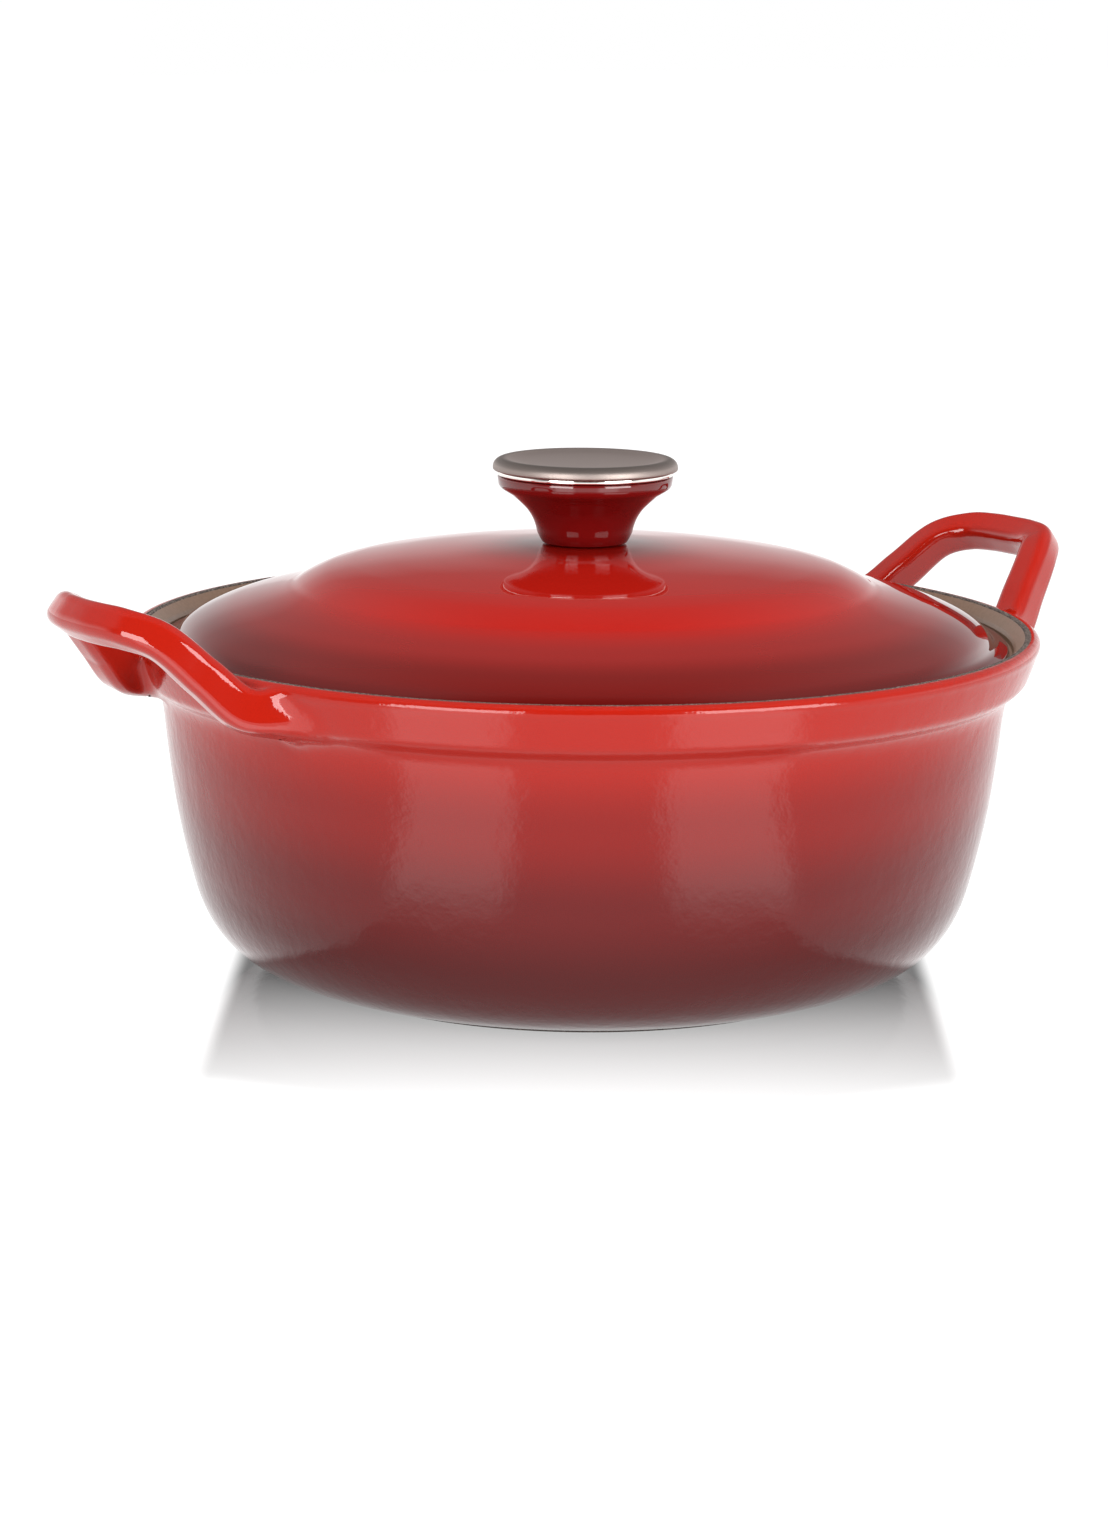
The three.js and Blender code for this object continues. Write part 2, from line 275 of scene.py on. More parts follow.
def loop_centre():
    """Middle line of the right handle, from one root to the other."""
    half = [(122, 44.6, -7.4), (131, 41.2, -8.4), (139.6, 36.8, -7.5), (149.3, 31.2, 1.7), (159.8, 25, 12.0),
            (167, 17.6, 15.1), (169.9, 9, 15.6)]
    mirrored = [(x, -y, z) for x, y, z in reversed(half)]
    points = smooth(half + [(170.5, 0, 15.6)] + mirrored, 1.1)
    return np.array(points) + np.array((0, 0, RIM_TOP))


class Loop:
    """The right handle as a swept section, with its distance function."""

    def __init__(self):
        self.centre = loop_centre()
        tangent = np.gradient(self.centre, axis=0)
        self.tangent = tangent / np.linalg.norm(tangent, axis=1)[:, None]
        up = np.array((-math.sin(LOOP_TILT), 0, math.cos(LOOP_TILT)))
        thick = up - (self.tangent @ up)[:, None] * self.tangent
        self.thick = thick / np.linalg.norm(thick, axis=1)[:, None]
        self.wide = np.cross(self.tangent, self.thick)
        along = np.linspace(0, 1, len(self.centre))
        root = np.clip(1 - np.minimum(along, 1 - along) / ROOT_SHARE, 0, 1) ** 1.2
        self.half_wide = LOOP_WIDTH / 2 + ROOT_WIDER * root
        self.half_thick = LOOP_THICKNESS / 2 + ROOT_THICKER * root

    def distance(self, p):
        """Signed distance from points p to the handle's surface."""
        a = self.centre[:-1]
        ab = self.centre[1:] - a
        out = np.empty(len(p))
        for lo in range(0, len(p), 4000):
            q = p[lo:lo + 4000]
            ap = q[:, None, :] - a[None]
            s = np.clip((ap * ab[None]).sum(2) / (ab * ab).sum(1)[None], 0, 1)
            near = ap - s[..., None] * ab[None]
            k = (near ** 2).sum(2).argmin(1)
            rows = np.arange(len(q))
            f = s[rows, k][:, None]
            off = near[rows, k]
            thick = self.thick[k] * (1 - f) + self.thick[k + 1] * f
            wide = self.wide[k] * (1 - f) + self.wide[k + 1] * f
            f = f[:, 0]
            hw = self.half_wide[k] * (1 - f) + self.half_wide[k + 1] * f
            ht = self.half_thick[k] * (1 - f) + self.half_thick[k + 1] * f
            x = np.abs((off * wide).sum(1)) - hw + LOOP_ROUNDING
            y = np.abs((off * thick).sum(1)) - ht + LOOP_ROUNDING
            past_end = (off * ab[k]).sum(1) / np.linalg.norm(ab[k], axis=1)
            outer = np.sqrt(np.maximum(x, 0) ** 2 + np.maximum(y, 0) ** 2 + past_end ** 2)
            out[lo:lo + 4000] = outer + np.minimum(np.maximum(x, y), 0) - LOOP_ROUNDING
        return out

    def gradient(self, p):
        """Unit directions in which the distance grows."""
        out = np.empty_like(p)
        for axis in range(3):
            step = np.zeros(3)
            step[axis] = 0.05
            out[:, axis] = self.distance(p + step) - self.distance(p - step)
        return out / np.maximum(np.linalg.norm(out, axis=1), 1e-9)[:, None]

    def skin(self, start, direction):
        """Where lines from points inside the handle come out through its own surface."""
        low, high = np.zeros(len(start)), np.full(len(start), 12.0)
        for _ in range(16):
            middle = (low + high) / 2
            inside = self.distance(start + direction * middle[:, None]) < 0
            low, high = np.where(inside, middle, low), np.where(inside, high, middle)
        return start + direction * high[:, None]

    def spokes(self):
        """Points of the middle line, each repeated for every side, and the directions out from them."""
        points, directions = [], []
        for centre, thick, wide in zip(self.centre, self.thick, self.wide):
            for k in range(SIDES):
                a = 2 * math.pi * k / SIDES
                points.append(centre)
                directions.append(wide * math.cos(a) + thick * math.sin(a))
        return np.array(points), np.array(directions)


class PotShell:
    """The outside of the pot, closed across the rim, as a distance function."""

    def __init__(self, outline):
        line = [(0, 0), (FOOT_RADIUS - 0.6, 0)] + list(outline) + [(0, RIM_TOP)]
        self.a = np.array(line[:-1])
        self.ab = np.array(line[1:]) - self.a
        before, after = outline_normals(line)
        self.n0, self.n1 = after[:-1], before[1:]

    def closest(self, p):
        """Signed distances from points p to the outside, and its outward normals nearest to them."""
        rz = np.stack([np.hypot(p[:, 0], p[:, 1]), p[:, 2]], axis=1)
        ap = rz[:, None, :] - self.a[None]
        s = np.clip((ap * self.ab[None]).sum(2) / (self.ab ** 2).sum(1)[None], 0, 1)
        near = ap - s[..., None] * self.ab[None]
        k = (near ** 2).sum(2).argmin(1)
        rows = np.arange(len(p))
        f = s[rows, k][:, None]
        off = near[rows, k]
        n = self.n0[k] * (1 - f) + self.n1[k] * f
        n = n / np.linalg.norm(n, axis=1)[:, None]
        d = np.linalg.norm(off, axis=1)
        sign = np.where((off * n).sum(1) < 0, -1.0, 1.0)
        around = np.arctan2(p[:, 1], p[:, 0])
        normal = np.stack([n[:, 0] * np.cos(around), n[:, 0] * np.sin(around), n[:, 1]], axis=1)
        return d * sign, normal

    def distance(self, p):
        return self.closest(p)[0]


def blended(a, b, height):
    """Smooth minimum of two distances, and how far it leans towards the second.

    The fillet that this makes shrinks to nothing at the top of the rim.
    """
    size = BLEND * np.clip((RIM_TOP + 0.6 - height) / 6.0, 0.02, 1.0)
    h = np.maximum(size - np.abs(a - b), 0) / size
    value = np.minimum(a, b) - h * h * size / 4
    lean = np.where(a < b, h / 2, 1 - h / 2)
    return value, lean


def settle(p, shell, loop, rounds=14):
    """Moves points straight out or in until they lie on the blended surface. Also gives its normals there."""
    p = p.copy()
    normals = np.zeros_like(p)
    rows = np.arange(len(p))
    for k in range(rounds):
        pot_d, pot_n = shell.closest(p[rows])
        loop_d = loop.distance(p[rows])
        value, lean = blended(pot_d, loop_d, p[rows, 2])
        slope = pot_n * (1 - lean)[:, None]
        near = lean > 0.001
        slope[near] += loop.gradient(p[rows[near]]) * lean[near][:, None]
        size = np.maximum(np.linalg.norm(slope, axis=1), 0.3)[:, None]
        normals[rows] = slope / size
        if k == rounds - 1:
            break
        p[rows] -= slope / size * np.clip(value[:, None] / size, -1.5, 1.5)
        rows = rows[np.abs(value) > 0.004]
        if not len(rows):
            break
    return p, normals / np.maximum(np.linalg.norm(normals, axis=1), 1e-6)[:, None]


def half_turns(p):
    """Factors that turn the points on the left half way round the axis, to where the right handle is."""
    side = np.where(p[:, :1] < 0, -1.0, 1.0)
    return np.concatenate([side, side, np.ones_like(side)], axis=1)


def pot_columns(fine=math.radians(0.4), spread=math.radians(11.6)):
    """Angles round the pot, four times closer together near the roots of the handles."""
    root = math.atan2(LOOP_ROOT[1], LOOP_ROOT[0])
    angles, a = [], 0.0
    while a < 2 * math.pi - 1e-6:
        angles.append(a)
        gap = min(abs((a - r + math.pi) % (2 * math.pi) - math.pi)
                  for r in (root, math.pi - root, math.pi + root, -root))
        a += fine if gap < spread else fine * 4
    if 2 * math.pi - angles[-1] < fine:
        angles.pop()
    return angles


def pot_outside(material):
    """The outer wall and band, drawn out smoothly into the roots of the handles."""
    outline = pot_outside_outline()
    shell, loop = PotShell(outline), Loop()
    angles = pot_columns()
    after = outline_normals(outline)[1]
    verts = np.array([(r * math.cos(t), r * math.sin(t), z) for r, z in outline for t in angles])
    normals = np.array([(n[0] * math.cos(t), n[0] * math.sin(t), n[1]) for n in after for t in angles])

    turn = half_turns(verts)
    rows = np.where((verts[:, 2] > FILLETS_ABOVE) & (loop.distance(verts * turn) < BLEND))[0]
    turn = turn[rows]
    start = verts[rows] * turn
    moved, tilted = settle(start, shell, loop)
    # In the last millimetre below the land the points move less, so that its edge stays round.
    ease = np.clip(RIM_TOP - 0.1 - start[:, 2], 0, 1)[:, None]
    drop = np.zeros(len(verts), bool)
    drop[rows] = loop.distance(start) < -BURIED
    normals[rows] = tilted * turn
    verts[rows] = (start + (moved - start) * ease) * turn
    return add_grid("pot_outside", verts, normals, drop, len(angles), material)


def add_grid(name, verts, normals, drop, across, material, winding=1):
    """A piece of the pot from rows of vertices that close round, less the faces that use a dropped one.

    Winding is 1 where the rows run up the outside, and -1 where they run the other way.
    """
    faces = []
    for i in range(len(verts) // across - 1):
        for k in range(across):
            j = (k + 1) % across
            f = (i * across + k, i * across + j, (i + 1) * across + j, (i + 1) * across + k)
            if not any(drop[v] for v in f):
                faces.append(f if winding > 0 else (f[0], f[3], f[2], f[1]))
    used = sorted({v for f in faces for v in f})
    where = {v: i for i, v in enumerate(used)}
    faces = [tuple(where[v] for v in f) for f in faces]
    return add_mesh(name, verts[used], faces, material, "pot", normals[used])


def handle(name, side, material):
    """A loop handle, drawn out smoothly into the band. Side is 1 for the right one, -1 for the left."""
    shell, loop = PotShell(pot_outside_outline()), Loop()
    skin = loop.skin(*loop.spokes())
    drop = (shell.distance(skin) < -BURIED) | (np.hypot(skin[:, 0], skin[:, 1]) < ROOT_RADIUS)
    verts, normals = skin.copy(), np.zeros_like(skin)
    verts[~drop], normals[~drop] = settle(skin[~drop], shell, loop)
    turn = np.array((side, side, 1.0))
    return add_grid(name, verts * turn, normals * turn, drop, SIDES, material, winding=-1)


# ---------------------------------------------------------------- shapes of the lid and knob

def lid_top_outline():
    """From the screw hole over the dome and the crease round it, to the edge of the flange."""
    dome = smooth([(SCREW_HOLE, DOME_TOP), (13.8, DOME_TOP - 0.1), (22, 131.4), (30, 130.9), (40, 130.1),
                   (50, 129.2), (58, 128.3), (65, 127.3), (70, 126.5), (72.5, 126.05), (76, 125.25),
                   (80, 124.1), (84, 122.4), (87, 120.8), (89.5, 119.2), (91.5, 118.4), (93.5, 117.7),
                   (98, 116.4), (104, 114.8), (110, 113.1), (116, 110.9), (120.5, 108.7), (123.2, 106.8),
                   (124.8, 105.0), (125.8, 103.7), (127.1, 102.9), (128.6, 102.6)], 0.6)
    edge = rounded([(128.6, 102.6, 0), (LID_RADIUS, 102.4, 0.6), (LID_RADIUS, LID_UNDERSIDE, 0)], 7)
    return join(dome, edge)


def lid_under_outline():
    """From the edge of the flange in over the skirt, under the dome, to the screw hole."""
    skirt = rounded([(LID_RADIUS, LID_UNDERSIDE, 0), (LID_RADIUS - 0.4, LID_UNDERSIDE, 0),
                     (124.0, LID_UNDERSIDE, 0.6), (123.2, SKIRT_BOTTOM, 0.9), (119.2, SKIRT_BOTTOM, 0.9),
                     (118.6, 103, 2.5), (115.6, 106.2, 0)], 5)
    dome = smooth([(115.6, 106.2), (104, 109.9), (97, 111.6), (91, 114), (84, 117.4), (76, 120.6),
                   (65, 123.0), (50, 124.9), (30, 126.6), (20, HUB_BOTTOM),
                   (HUB_RADIUS + 1, HUB_BOTTOM)], 1.2)
    pad = rounded([(HUB_RADIUS + 1, HUB_BOTTOM, 0), (HUB_RADIUS, HUB_BOTTOM, 0), (SCREW_HOLE, HUB_BOTTOM, 0),
                   (SCREW_HOLE, DOME_TOP, 0)], 2)
    return join(skirt, dome, pad)


def knob_outline():
    """From the bore over the foot and up the flare, then in over the top and down the bore again."""
    foot = rounded([(KNOB_BORE, KNOB_BOTTOM, 0), (12.9, KNOB_BOTTOM, 1.0), (13.9, KNOB_BOTTOM + 1.7, 1.5),
                    (14.6, KNOB_BOTTOM + 3.2, 0)], 5)
    flare = smooth([(14.6, KNOB_BOTTOM + 3.2), (15.2, 137.7), (16.2, 140.1), (17.8, 142.5), (20.0, 144.7),
                    (22.6, 146.9), (24.8, 148.3), (26.0, 149.2), (26.55, 150.1), (26.75, 151.3)], 0.5)
    top = rounded([(26.75, 151.3, 0), (26.9, KNOB_TOP, 0.4), (RECESS, KNOB_TOP, 0)], 4)
    bore = [(RECESS, RECESS_FLOOR), (KNOB_BORE, RECESS_FLOOR), (KNOB_BORE, KNOB_BOTTOM)]
    return join(foot, flare, top, bore)


def ring_outline():
    return rounded([(RECESS, RING_BOTTOM, 0), (RING_RADIUS, RING_BOTTOM, 0.45), (RING_RADIUS, RING_TOP, 0.45),
                    (RECESS, RING_TOP, 0), (RECESS, RING_BOTTOM, 0)], 5)


def cap_outline():
    """The cap's stem, its flat underside, a small lip, the rounded edge and the shallow dish on top."""
    bottom = RING_TOP + 0.3
    stem_radius = RECESS - 0.4
    stem_bottom = RECESS_FLOOR + 0.3
    stem = rounded([(0, stem_bottom, 0), (stem_radius, stem_bottom, 0.5), (stem_radius, bottom, 0),
                    (CAP_RADIUS - 0.9, bottom, 0)], 3)
    edge = smooth([(CAP_RADIUS - 0.9, bottom), (CAP_RADIUS - 0.8, bottom - 0.12),
                   (CAP_RADIUS - 0.55, bottom - 0.22), (CAP_RADIUS - 0.2, bottom - 0.14),
                   (CAP_RADIUS - 0.05, bottom), (CAP_RADIUS - 0.02, bottom + 0.8),
                   (CAP_RADIUS - 0.3, bottom + 1.8), (CAP_RADIUS - 1.1, bottom + 2.7),
                   (CAP_RADIUS - 2.4, CAP_TOP - 0.1), (CAP_RADIUS - 3.7, CAP_TOP - 0.06),
                   (CAP_RADIUS - 5.2, CAP_TOP - 0.4), (20, CAP_TOP - 1.0),
                   (14, CAP_TOP - 1.4), (7, CAP_TOP - 1.6), (0, CAP_TOP - 1.65)], 0.4)
    return join(stem, edge)


# ---------------------------------------------------------------- materials

class Nodes:
    """A node tree with short helpers."""

    def __init__(self, owner):
        owner.use_nodes = True
        self.tree = owner.node_tree

    def add(self, kind, **values):
        node = self.tree.nodes.new(kind)
        for key, value in values.items():
            setattr(node, key, value)
        return node

    def link(self, a, b):
        self.tree.links.new(a, b)

    def split(self, vector):
        node = self.add("ShaderNodeSeparateXYZ")
        self.link(vector, node.inputs[0])
        return node.outputs

    def maths(self, kind, a, b=None):
        node = self.add("ShaderNodeMath", operation=kind)
        for k, value in enumerate((a, b)):
            if value is None:
                continue
            if isinstance(value, (int, float)):
                node.inputs[k].default_value = value
            else:
                self.link(value, node.inputs[k])
        return node.outputs[0]

    def span(self, value, low, high, at_low, at_high, kind="SMOOTHSTEP"):
        """A change of value between two places, smooth unless kind says otherwise."""
        node = self.add("ShaderNodeMapRange", interpolation_type=kind)
        for key, setting in (("From Min", low), ("From Max", high), ("To Min", at_low), ("To Max", at_high)):
            node.inputs[key].default_value = setting
        self.link(value, node.inputs["Value"])
        return node.outputs[0]

    def ramp(self, value, low, high, stops, kind="EASE"):
        """Colours along value, from low to high. Stops are (place from low to high, colour)."""
        ramp = self.add("ShaderNodeValToRGB")
        ramp.color_ramp.interpolation = kind
        while len(ramp.color_ramp.elements) < len(stops):
            ramp.color_ramp.elements.new(0.5)
        for element, (at, colour) in zip(ramp.color_ramp.elements, stops):
            element.position = (at - low) / (high - low)
            element.color = (*colour, 1)
        self.link(self.span(value, low, high, 0.0, 1.0, "LINEAR"), ramp.inputs[0])
        return ramp.outputs[0]


class Surface(Nodes):
    """A material, with helpers for where a point is and for its relief."""

    def __init__(self, name):
        self.material = bpy.data.materials.new(name)
        super().__init__(self.material)
        self.shader = self.tree.nodes["Principled BSDF"]

    def set(self, **values):
        for key, value in values.items():
            self.shader.inputs[key.replace("_", " ")].default_value = value

    def drive(self, socket, name):
        self.link(socket, self.shader.inputs[name])

    def place(self):
        return self.add("ShaderNodeTexCoord").outputs["Object"]

    def xyz(self):
        return self.split(self.place())

    def radius(self):
        """The distance from the object's axis."""
        x, y, _ = self.xyz()
        squares = self.maths("ADD", self.maths("MULTIPLY", x, x), self.maths("MULTIPLY", y, y))
        return self.maths("SQRT", squares)

    def grooves(self, scale):
        """A vector that changes only with the distance from the axis."""
        node = self.add("ShaderNodeCombineXYZ")
        self.link(self.maths("MULTIPLY", self.radius(), float(scale)), node.inputs[0])
        return node.outputs[0]

    def seen_from(self, azimuth):
        """How far a point is ahead, towards that azimuth of the studio, and how far to the side of it."""
        a = math.radians(azimuth)
        x, y, _ = self.xyz()
        return [self.maths("ADD", self.maths("MULTIPLY", x, v.x), self.maths("MULTIPLY", y, v.y))
                for v in (studio(math.sin(a), -math.cos(a), 0), studio(math.cos(a), math.sin(a), 0))]

    def noise(self, scale, detail=2.0, roughness=0.5, vector=None):
        node = self.add("ShaderNodeTexNoise")
        node.inputs["Scale"].default_value = scale
        node.inputs["Detail"].default_value = detail
        node.inputs["Roughness"].default_value = roughness
        self.link(vector or self.place(), node.inputs["Vector"])
        return node.outputs["Fac"]

    def bump(self, height, strength, distance, before=None):
        node = self.add("ShaderNodeBump")
        node.inputs["Strength"].default_value = strength
        node.inputs["Distance"].default_value = distance
        self.link(height, node.inputs["Height"])
        if before:
            self.link(before, node.inputs["Normal"])
        self.drive(node.outputs[0], "Normal")
        return node.outputs[0]


ORANGE_RED = (0.25, 0.0072, 0.0028)
MID_RED = (0.15, 0.0036, 0.002)
DEEP_RED = (0.085, 0.002, 0.0017)
BURGUNDY = (0.052, 0.0017, 0.0016)
DOME_RED = (0.235, 0.0055, 0.0028)
BORDER_RED = (0.168, 0.0042, 0.0025)
FLANK_RED = (0.095, 0.003, 0.002)
FLANGE_RED = (0.07, 0.0022, 0.0018)
CAP_STEEL = (0.62, 0.51, 0.475)


def pot_enamel():
    """Glossy enamel, orange red at the rim and handles and burgundy at the foot, smoother on the handles."""
    n = Surface("pot_enamel")
    n.drive(n.ramp(n.xyz()[2], 0.0, 0.13, [(0.0, BURGUNDY), (0.022, BURGUNDY), (0.045, DEEP_RED),
                                           (0.069, MID_RED), (0.094, ORANGE_RED), (0.13, ORANGE_RED)]),
            "Base Color")

    def from_band_to_handle(on_band, on_handle):
        return n.span(n.radius(), 0.1385, 0.143, on_band, on_handle)

    n.drive(from_band_to_handle(0.12, 0.05), "Roughness")
    n.drive(from_band_to_handle(1.4, 1.5), "IOR")
    cast = n.bump(n.noise(150, 3, 0.6), 0.36, 0.0006)
    n.link(from_band_to_handle(0.36, 0.08), cast.node.inputs["Strength"])
    n.bump(n.noise(620, 2, 0.5), 0.1, 0.0003, cast)
    return n.material


def lid_enamel():
    """Glossy enamel, orange red on the dome and darker red at the edge."""
    n = Surface("lid_enamel")
    n.drive(n.ramp(n.radius(), 0.0, 0.131, [(0.0, DOME_RED), (0.086, DOME_RED), (0.104, BORDER_RED),
                                            (0.118, FLANK_RED), (0.131, FLANGE_RED)]),
            "Base Color")
    n.set(Roughness=0.02, IOR=1.52)
    return n.material


def sand_enamel():
    """The satin beige enamel of the inside."""
    n = Surface("sand_enamel")
    n.drive(n.ramp(n.noise(900, 2), 0.3, 0.7, [(0.3, (0.13, 0.078, 0.05)), (0.7, (0.155, 0.094, 0.064))]),
            "Base Color")
    n.set(Roughness=0.35, IOR=1.38)
    n.bump(n.noise(300, 2), 0.1, 0.0004)
    return n.material


def bare_edge():
    """The rough dark enamel on the land of the rim and on the foot."""
    n = Surface("bare_edge")
    speckle = n.noise(1500, 3, 0.7)
    n.drive(n.ramp(speckle, 0.35, 0.65, [(0.35, (0.02, 0.015, 0.014)), (0.5, (0.055, 0.044, 0.04)),
                                         (0.65, (0.17, 0.14, 0.12))]), "Base Color")
    n.set(Roughness=0.7, IOR=1.2)
    n.bump(speckle, 0.6, 0.0003)
    return n.material


def phenolic():
    n = Surface("phenolic")
    n.set(Base_Color=(0.102, 0.0025, 0.0025, 1), Roughness=0.04, IOR=1.55)
    return n.material


def satin_cap():
    """Stainless steel, turned to a fine round grain, with painted shade that darkens it round the rounded
    edge.
    """
    n = Surface("satin_cap")
    grain = n.noise(1.0, 2, 0.6, n.grooves(9000))
    # Painted shade: the steel is given a darker colour over its rounded edge.
    n.drive(n.ramp(n.radius(), 0.0, 0.0285, [(0.0, CAP_STEEL), (0.0235, CAP_STEEL),
                                             (0.0262, (0.34, 0.285, 0.26)), (0.0285, (0.3, 0.25, 0.23))]),
            "Base Color")
    n.set(Metallic=1.0, Roughness=0.5)
    n.bump(grain, 0.08, 0.0001)
    return n.material


def metal(name, colour, roughness):
    n = Surface(name)
    n.set(Base_Color=(*colour, 1), Metallic=1.0, Roughness=roughness)
    n.bump(n.noise(2500, 2), 0.05, 0.0001)
    return n.material


# ---------------------------------------------------------------- the object

def build_pot():
    enamel = pot_enamel()
    sand, edge = sand_enamel(), bare_edge()
    outside = pot_outside(enamel)
    right = handle("handle_right", 1, enamel)
    left = handle("handle_left", -1, enamel)
    land = turned("rim_land", land_outline(), edge, "pot", 384)
    inside = turned("pot_inside", pot_inside_outline(), sand, "pot", 320)
    foot = turned("pot_foot", foot_outline(), edge, "pot", 256)
    for piece in (outside, right, left, land, inside, foot):
        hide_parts("pot_body")


def build_lid():
    top = turned("lid_top", lid_top_outline(), lid_enamel(), "lid", 384)
    under = turned("lid_under", lid_under_outline(), sand_enamel(), "lid", 256)
    for piece in (top, under):
        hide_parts("lid")


def build_knob():
    body = turned("knob_moulding", knob_outline(), phenolic(), "lid", 192)
    polished = metal("polished_ring", (0.82, 0.79, 0.76), 0.05)
    ring = turned("knob_ring_fine", ring_outline(), polished, "lid", 192)
    cap = turned("knob_cap_fine", cap_outline(), satin_cap(), "lid", 192)
    for piece, slot, node in ((body, "knob_moulding", "knob_body"),
                              (ring, "polished_steel", "knob_ring"),
                              (cap, "satin_steel", "knob_cap")):
        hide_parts(node)


def finish_hardware():
    """The hidden fasteners keep their frame shapes and get real metal."""
    brass = metal("turned_brass", (0.6, 0.43, 0.17), 0.3)
    zinc = metal("zinc_plate", (0.55, 0.56, 0.57), 0.35)
    for node, material in (("knob_insert", brass), ("knob_screw", zinc), ("knob_lock_washer", zinc),
                           ("knob_washer", zinc)):
        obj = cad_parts[node]
        obj.data.materials.clear()
        obj.data.materials.append(material)


# ---------------------------------------------------------------- studio

def light_pool(n, azimuth, half_angle):
    """A mask for a pool of light on the floor in front of the pot, in line with a strip softbox."""
    ahead, aside = n.seen_from(azimuth)
    angle = n.maths("ARCTAN2", n.maths("ABSOLUTE", aside), ahead)
    edge = math.radians(half_angle)
    return n.maths("MULTIPLY", n.span(angle, edge - 0.06, edge + 0.06, 1.0, 0.0),
                   n.span(ahead, 0.16, 0.21, 0.0, 1.0))


def add_floor():
    """White and glossy. It glows less in a strip in front of the pot, so that the pot's reflection shows.

    The strip is painted shade that fades out towards the camera, and a painted pool of light, brighter white,
    lies on either side of its middle.
    """
    n = Surface("floor_white")
    ahead, aside = n.seen_from(0)
    # Painted shade: the glow is lowered in a strip in front of the pot, most next to it and less towards the
    # camera.
    strip = n.maths("MULTIPLY", n.span(n.maths("ABSOLUTE", aside), 0.103, 0.111, 1.0, 0.0),
                    n.span(ahead, -0.06, -0.01, 0.0, 1.0))
    strip_shade = n.span(ahead, 0.02, 0.178, 1.35, 0.0, "LINEAR")
    coat = n.span(n.radius(), 0.1, 0.19, 1.0, 0.0)
    white = n.maths("ADD", 1.0, n.maths("MULTIPLY", coat, 0.45))
    glow = n.maths("SUBTRACT", white, n.maths("MULTIPLY", strip, strip_shade))
    # Painted pools of light in the glow, in line with the two strip softboxes.
    pools = n.maths("ADD", light_pool(n, -26.5, 12), light_pool(n, 30.5, 13))
    n.drive(n.maths("ADD", glow, n.maths("MULTIPLY", pools, 1.3)), "Emission Strength")
    n.drive(coat, "Coat Weight")
    n.set(Base_Color=(0.12, 0.12, 0.12, 1), Roughness=0.6, Coat_Roughness=0.03, Coat_IOR=1.5,
          Emission_Color=(1, 1, 1, 1), Specular_IOR_Level=0.0)
    corners = [(x * FLOOR_HALF, y * FLOOR_HALF, -0.2) for x, y in ((-1, -1), (1, -1), (1, 1), (-1, 1))]
    floor = add_mesh("floor", corners, [(0, 1, 2, 3)], n.material)


def softbox(name, azimuth, distance, width, height, bottom, radiance):
    """An upright panel that faces the pot. Azimuth is from the camera's side, positive to its right."""
    light = bpy.data.lights.new(name, "AREA")
    light.shape = "RECTANGLE"
    light.size = width
    light.size_y = height
    light.energy = radiance * math.pi * width * height
    panel = bpy.data.objects.new(name, light)
    a = math.radians(azimuth)
    place = studio(distance * math.sin(a), -distance * math.cos(a), bottom + height / 2)
    target = Vector((0, 0, bottom + height / 2))
    panel.location = place
    panel.rotation_euler = (target - place).to_track_quat("-Z", "Y").to_euler()
    bpy.context.scene.collection.objects.link(panel)


def overhead(height, size, radiance):
    """A square panel above the pot, facing down, that doesn't show in reflections."""
    light = bpy.data.lights.new("overhead", "AREA")
    light.shape = "SQUARE"
    light.size = size
    light.energy = radiance * math.pi * size * size
    panel = bpy.data.objects.new("overhead", light)
    panel.location = studio(0, 0.1, height)
    panel.visible_glossy = False
    bpy.context.scene.collection.objects.link(panel)


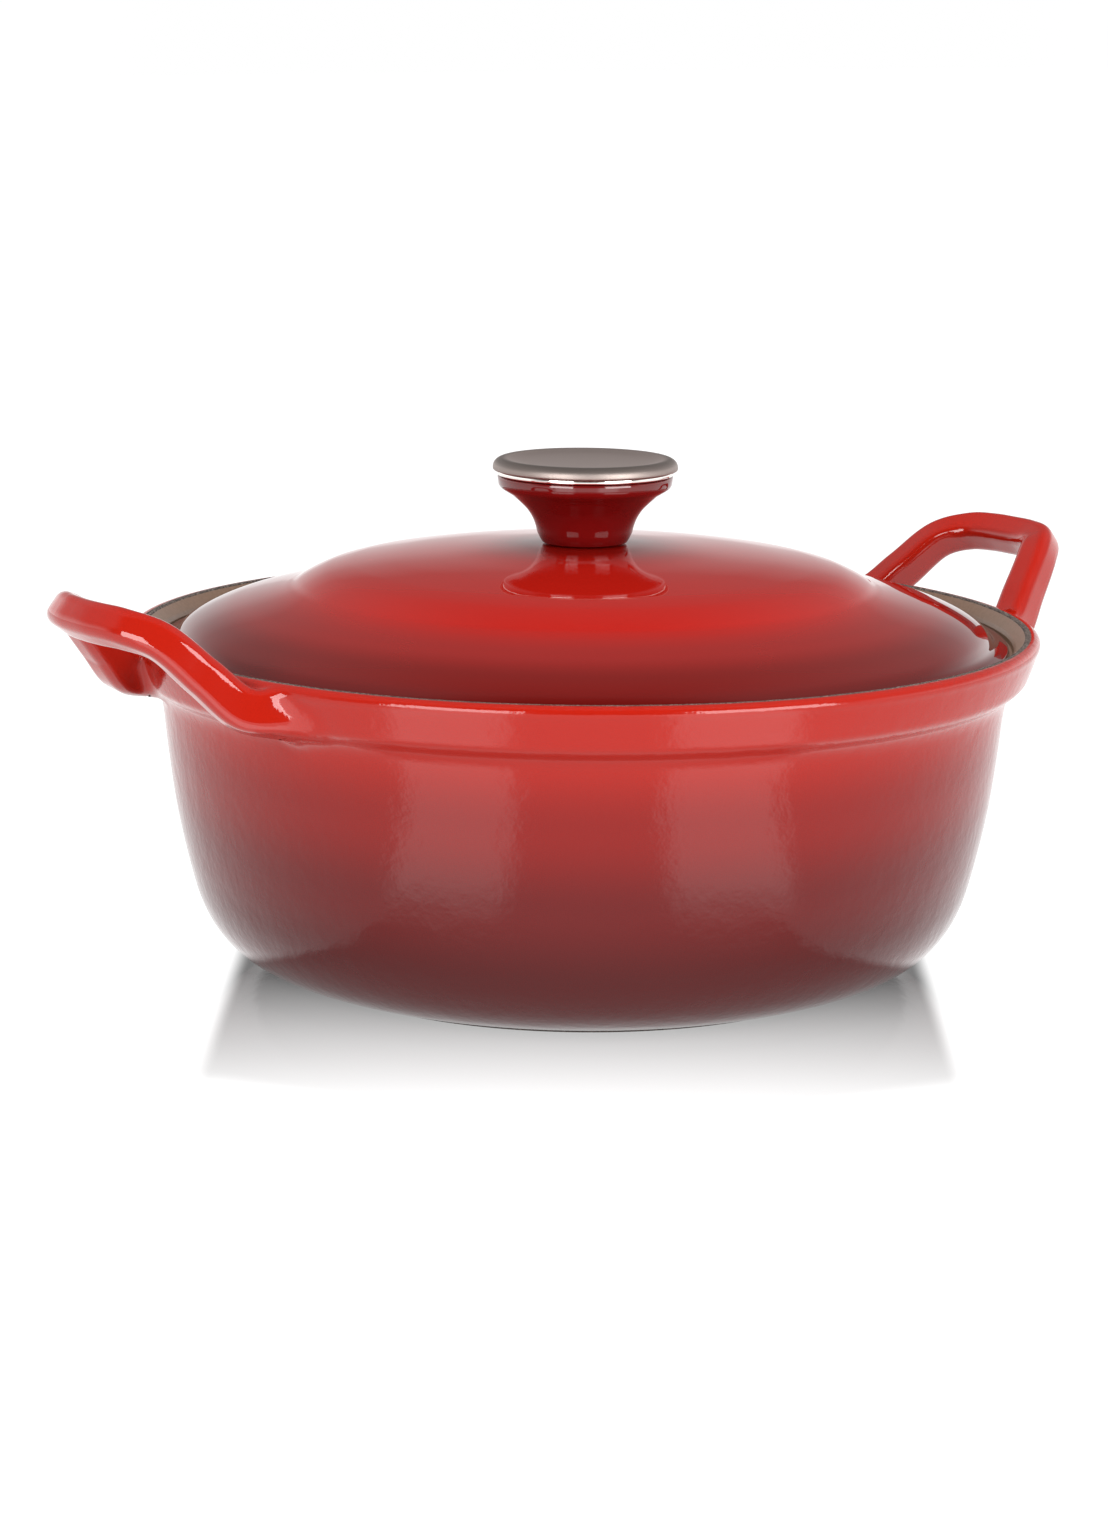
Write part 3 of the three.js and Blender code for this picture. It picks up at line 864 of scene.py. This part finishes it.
def add_lights():
    softbox("strip_left", azimuth=-31, distance=1.5, width=0.82, height=1.05, bottom=0.02, radiance=9.0)
    softbox("strip_right", azimuth=44, distance=1.5, width=0.95, height=1.05, bottom=0.02, radiance=9.0)
    overhead(height=1.8, size=1.5, radiance=6.6)


def add_world():
    """White low down behind and beside the pot, darker above, and dark on the camera's side."""
    world = bpy.data.worlds.new("studio")
    bpy.context.scene.world = world
    n = Nodes(world)
    turn = n.add("ShaderNodeVectorRotate", rotation_type="Z_AXIS")
    turn.inputs["Angle"].default_value = -STUDIO_TURN
    n.link(n.add("ShaderNodeTexCoord").outputs["Generated"], turn.inputs["Vector"])
    aside, away, up = n.split(turn.outputs[0])
    levels = [(0.0, 1.0), (0.03, 0.78), (0.1, 0.66), (0.16, 0.54), (0.22, 0.37), (0.32, 0.2), (0.8, 0.2)]
    sky = n.ramp(up, 0.0, 1.0, [(height, (level, level, level)) for height, level in levels], "LINEAR")
    wings = n.maths("MULTIPLY", n.span(n.maths("ABSOLUTE", aside), 0.1, 0.6, 0.0, 0.9),
                    n.span(up, 0.15, 0.5, 1.0, 0.25))
    behind = n.span(away, -0.5, -0.15, 0.12, 1.0)
    background = n.tree.nodes["Background"]
    background.inputs["Color"].default_value = (1, 1, 1, 1)
    n.link(n.maths("MULTIPLY", behind, n.maths("ADD", sky, wings)), background.inputs["Strength"])


def add_camera():
    """1.2 m from the pot's axis and 0.3 m up, looking a little down, with a long lens."""
    data = bpy.data.cameras.new("camera")
    data.sensor_fit = "VERTICAL"
    data.sensor_height = 36
    data.lens = 92.95
    camera = bpy.data.objects.new("camera", data)
    pan, pitch, roll = -0.00733, 0.19903, 0.00866
    turn = Matrix.Rotation(STUDIO_TURN - pan, 4, "Z") @ Matrix.Rotation(math.pi / 2 - pitch, 4, "X")
    turn = turn @ Matrix.Rotation(roll, 4, "Z")
    camera.matrix_world = Matrix.Translation(studio(0, -1.2, 0.3046)) @ turn
    bpy.context.scene.collection.objects.link(camera)
    bpy.context.scene.camera = camera


build_pot()
build_lid()
build_knob()
finish_hardware()
add_floor()
add_lights()
add_world()
add_camera()
bpy.context.scene.view_settings.view_transform = "Standard"
bpy.context.scene.view_settings.look = "None"
